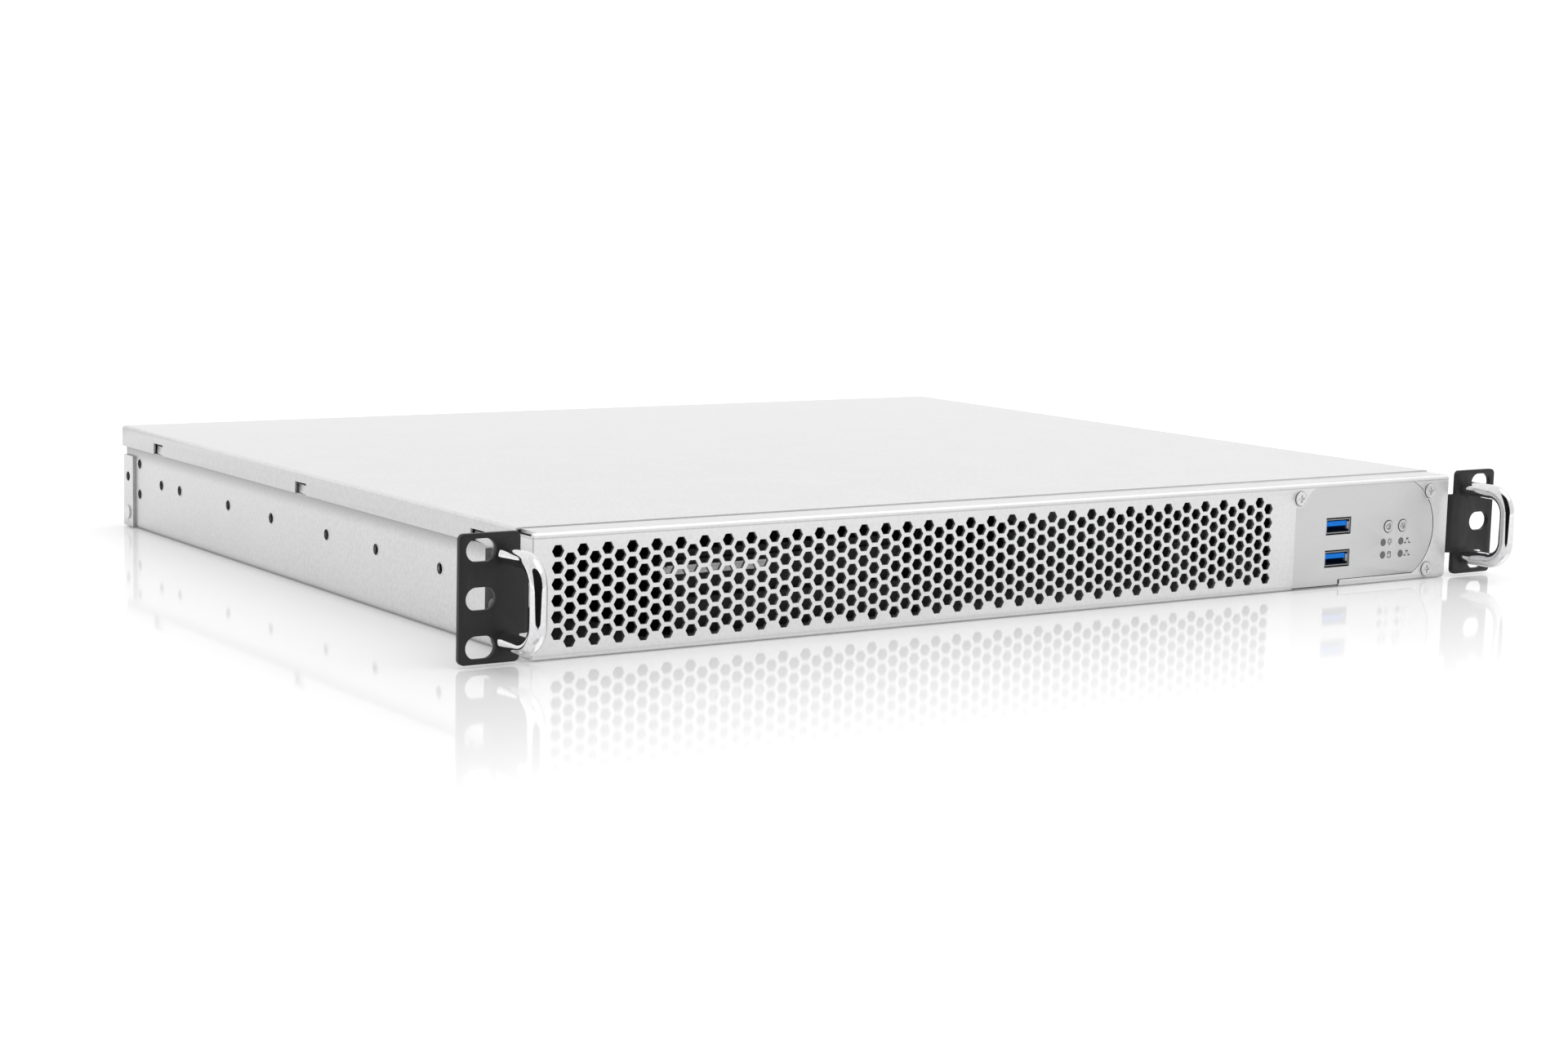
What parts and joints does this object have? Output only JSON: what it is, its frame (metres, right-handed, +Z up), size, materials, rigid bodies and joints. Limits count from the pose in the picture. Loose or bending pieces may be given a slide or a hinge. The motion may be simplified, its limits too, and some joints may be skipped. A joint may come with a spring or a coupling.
{
  "type": "rack server",
  "caption": "Short one-unit rack server in a folded steel case with a hexagon grille, black rack ears, rod handles, a small control field and a sliding cover.",
  "frame": {"origin": "centre of the bounding box on the underside", "axes": "+X to the right seen from the front, +Y from the front to the rear, +Z up"},
  "size_m": [0.4808, 0.3851, 0.0437],
  "materials": {
    "galvanised_steel": "fine spangle, satin",
    "front_steel": "matt galvanised",
    "control_field": "matt silver paint",
    "black_coat": "satin powder coat",
    "chrome": "polished",
    "zinc_screw": "bright zinc",
    "black_screw": "black zinc",
    "socket_steel": "tinned",
    "blue_plastic": "moulded",
    "button_metal": "satin",
    "light_grey_plastic": "diffuse lens",
    "black_plastic": "moulded",
    "board_green": "solder mask",
    "aluminium": "extruded",
    "brass": "turned",
    "cable_black": "sheath",
    "cable_grey": "sheath",
    "drive_case": "cast"
  },
  "bodies": {
    "chassis": {"chassis_tray": "galvanised_steel", "rear_panel": "galvanised_steel", "front_panel": "front_steel", "control_plate": "control_field", "control_bracket": "galvanised_steel", "ear_packers": "galvanised_steel", "left_ear": "black_coat", "right_ear": "black_coat", "left_handle": "chrome", "right_handle": "chrome", "handle_screws": "black_screw", "ear_screws": "black_screw", "control_screws": "zinc_screw", "corner_rivets": "zinc_screw", "control_board": "board_green", "board_spacers": "brass", "usb_shells": "socket_steel", "usb_tongues": "blue_plastic", "button_switches": "black_plastic", "status_lights": "light_grey_plastic", "main_board": "board_green", "board_standoffs": "brass", "board_screws": "zinc_screw", "processor_socket": "black_plastic", "processor_cooler": "aluminium", "memory_slots": "black_plastic", "memory_modules": "board_green", "clock_battery": "zinc_screw", "port_shield": "socket_steel", "rear_usb_ports": "socket_steel", "display_port": "socket_steel", "network_ports": "socket_steel", "serial_port": "blue_plastic", "fan_bracket": "galvanised_steel", "fan_frame_1": "black_plastic", "fan_frame_2": "black_plastic", "fan_frame_3": "black_plastic", "power_supply_case": "galvanised_steel", "psu_fan_frame": "black_plastic", "psu_fan_guard": "zinc_screw", "power_inlet": "black_plastic", "inlet_pins": "brass", "switch_housing": "black_plastic", "disk_drive": "drive_case", "drive_bracket": "galvanised_steel", "power_plug": "black_plastic", "signal_plugs": "black_plastic", "power_cable": "cable_black", "drive_cable": "cable_grey", "control_cable": "cable_grey", "slot_cover": "galvanised_steel"},
    "cover": {"top_cover": "galvanised_steel", "cover_screws": "zinc_screw"},
    "power_button": {"power_button": "button_metal"},
    "reset_button": {"reset_button": "button_metal"},
    "fan_1": {"fan_rotor_1": "black_plastic"},
    "fan_2": {"fan_rotor_2": "black_plastic"},
    "fan_3": {"fan_rotor_3": "black_plastic"},
    "psu_fan": {"psu_fan_rotor": "black_plastic"},
    "mains_switch": {"switch_rocker": "black_plastic"}
  },
  "joints": [
    {"name": "cover_slide", "type": "slide", "parent": "chassis", "child": "cover", "axis": [0, 1, 0], "range_m": [0, 0.012]},
    {"name": "power_press", "type": "slide", "parent": "chassis", "child": "power_button", "axis": [0, 1, 0], "range_m": [0, 0.0008], "stiffness_N_per_m": 600},
    {"name": "reset_press", "type": "slide", "parent": "chassis", "child": "reset_button", "axis": [0, 1, 0], "range_m": [0, 0.0008], "stiffness_N_per_m": 600},
    {"name": "fan_spin_1", "type": "hinge", "parent": "chassis", "child": "fan_1", "pos_m": [-0.012, -0.02925, 0.021], "axis": [0, 1, 0], "continuous": true},
    {"name": "fan_spin_2", "type": "hinge", "parent": "chassis", "child": "fan_2", "pos_m": [0.03, -0.02925, 0.021], "axis": [0, 1, 0], "continuous": true},
    {"name": "fan_spin_3", "type": "hinge", "parent": "chassis", "child": "fan_3", "pos_m": [0.072, -0.02925, 0.021], "axis": [0, 1, 0], "continuous": true},
    {"name": "psu_fan_spin", "type": "hinge", "parent": "chassis", "child": "psu_fan", "pos_m": [-0.1852, 0.17865, 0.0208], "axis": [0, 1, 0], "continuous": true},
    {"name": "mains_switch_rock", "type": "hinge", "parent": "chassis", "child": "mains_switch", "pos_m": [-0.1304, 0.18825, 0.0208], "axis": [1, 0, 0], "range_deg": [-16, 0]}
  ]
}
